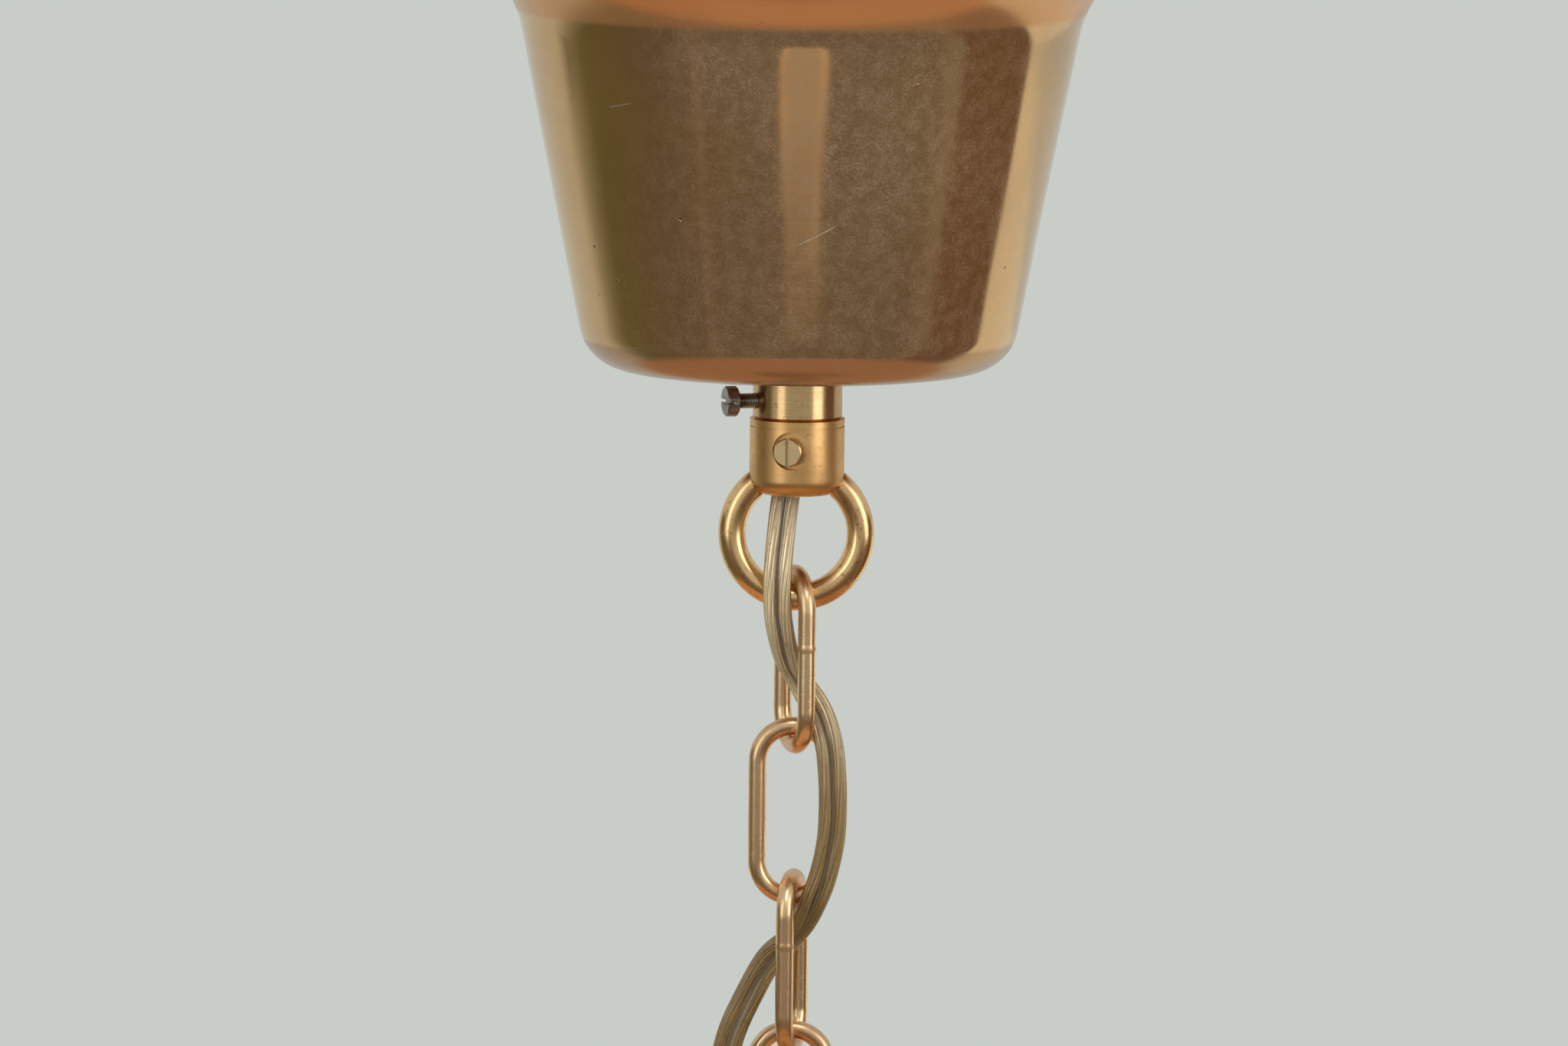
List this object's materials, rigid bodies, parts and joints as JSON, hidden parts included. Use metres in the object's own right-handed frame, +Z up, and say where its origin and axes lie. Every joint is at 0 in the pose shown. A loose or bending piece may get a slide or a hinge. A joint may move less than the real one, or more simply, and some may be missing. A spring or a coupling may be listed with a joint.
{
  "type": "pendant light",
  "caption": "Pendant light: brass canopy on a ceiling hook strap, link chain with a flat flex woven through it, and a bell shade over a screw lampholder with its bulb.",
  "frame": {"origin": "centre of the hanging strap's eye, where the ceiling hook passes", "axes": "+Z up, -Y towards the side seen in the picture, +Y along the eye's bore"},
  "size_m": [0.1592, 0.159, 0.4732],
  "materials": {
    "canopy_brass": "aged spun brass with a brown speckled patina under worn lacquer",
    "fitting_brass": "satin turned brass",
    "chain_brass": "satin drawn brass wire with light tarnish",
    "shade_brass": "aged spun brass with a brown speckled patina under worn lacquer",
    "holder_brass": "satin pressed brass",
    "contact_bronze": "bright spring bronze",
    "copper": "bare stranded copper",
    "dark_steel": "blackened steel with bright wear",
    "zinc_steel": "zinc-plated steel",
    "block_ceramic": "off-white glazed steatite",
    "porcelain": "white glazed porcelain",
    "flex_sheath": "translucent gold-tinted flexible sheath",
    "core_sheath": "translucent gold-tinted flexible sheath",
    "bulb_clear": "clear blown glass",
    "bulb_metal": "pressed aluminium",
    "bulb_black_glass": "black insulating glass",
    "solder": "dull solder",
    "tungsten": "dark drawn wire"
  },
  "bodies": {
    "root": {"hook_strap": "zinc_steel", "stem_tube": "fitting_brass", "stem_nuts": "fitting_brass", "lock_washer": "zinc_steel", "terminal_block": "block_ceramic", "terminal_inserts": "fitting_brass", "terminal_screws": "fitting_brass", "block_screw": "zinc_steel", "block_nut": "zinc_steel", "upper_leads": "core_sheath", "upper_wire_ends": "copper", "flex": "flex_sheath", "loop_barrel": "fitting_brass", "barrel_screw": "fitting_brass", "loop_ring": "fitting_brass"},
    "collar": {"stop_collar": "fitting_brass"},
    "clamp_screw": {"clamp_screw": "dark_steel"},
    "canopy": {"canopy": "canopy_brass"},
    "link_1": {"link_1": "chain_brass"},
    "link_2": {"link_2": "chain_brass"},
    "link_3": {"link_3": "chain_brass"},
    "link_4": {"link_4": "chain_brass"},
    "link_5": {"link_5": "chain_brass"},
    "link_6": {"link_6": "chain_brass"},
    "link_7": {"link_7": "chain_brass"},
    "lamp": {"lower_ring": "fitting_brass", "lower_barrel": "fitting_brass", "lower_screw": "fitting_brass", "lower_nipple": "fitting_brass", "shade_washer": "fitting_brass", "shade": "shade_brass", "holder_cap": "holder_brass", "holder_sleeve": "holder_brass", "holder_porcelain": "porcelain", "holder_thread": "fitting_brass", "centre_contact": "contact_bronze", "holder_plates": "contact_bronze", "holder_screws": "zinc_steel", "lower_leads": "core_sheath", "lower_wire_ends": "copper"},
    "bulb": {"bulb_cap": "bulb_metal", "bulb_insulator": "bulb_black_glass", "bulb_contact": "solder", "bulb_glass": "bulb_clear", "bulb_stem": "bulb_clear", "filament": "tungsten"}
  },
  "joints": [
    {"name": "collar_slide", "type": "slide", "parent": "root", "child": "collar", "axis": [0, 0, 1], "range_m": [0, 0.035]},
    {"name": "canopy_turn", "type": "hinge", "parent": "collar", "child": "canopy", "pos_m": [0, 0, -0.078], "axis": [0, 0, 1], "continuous": true},
    {"name": "clamp_screw_out", "type": "slide", "parent": "collar", "child": "clamp_screw", "axis": [-0.9563, -0.2924, 0], "range_m": [0, 0.0025]},
    {"name": "link_1_swing", "type": "hinge", "parent": "root", "child": "link_1", "pos_m": [0, 0, -0.12155], "axis": [1, 0, 0], "range_deg": [-15, 15], "deforming": ["flex"]},
    {"name": "link_2_swing", "type": "hinge", "parent": "link_1", "child": "link_2", "pos_m": [0, 0, -0.14985], "axis": [0.3256, -0.9455, 0], "range_deg": [-15, 15], "deforming": ["flex"]},
    {"name": "link_3_swing", "type": "hinge", "parent": "link_2", "child": "link_3", "pos_m": [0, 0, -0.17905], "axis": [1, 0, 0], "range_deg": [-15, 15], "deforming": ["flex"]},
    {"name": "link_4_swing", "type": "hinge", "parent": "link_3", "child": "link_4", "pos_m": [0, 0, -0.20825], "axis": [-0.2028, -0.9792, 0], "range_deg": [-15, 15], "deforming": ["flex"]},
    {"name": "link_5_swing", "type": "hinge", "parent": "link_4", "child": "link_5", "pos_m": [0, 0, -0.23745], "axis": [1, 0, 0], "range_deg": [-15, 15], "deforming": ["flex"]},
    {"name": "link_6_swing", "type": "hinge", "parent": "link_5", "child": "link_6", "pos_m": [0, 0, -0.26665], "axis": [0.1392, -0.9903, 0], "range_deg": [-15, 15], "deforming": ["flex"]},
    {"name": "link_7_swing", "type": "hinge", "parent": "link_6", "child": "link_7", "pos_m": [0, 0, -0.29585], "axis": [1, 0, 0], "range_deg": [-15, 15], "deforming": ["flex"]},
    {"name": "lamp_swing", "type": "hinge", "parent": "link_7", "child": "lamp", "pos_m": [0, 0, -0.32505], "axis": [-0.1219, -0.9925, 0], "range_deg": [-15, 15], "deforming": ["flex"]},
    {"name": "bulb_out", "type": "slide", "parent": "lamp", "child": "bulb", "axis": [0, 0, -1], "range_m": [0, 0.03]}
  ]
}
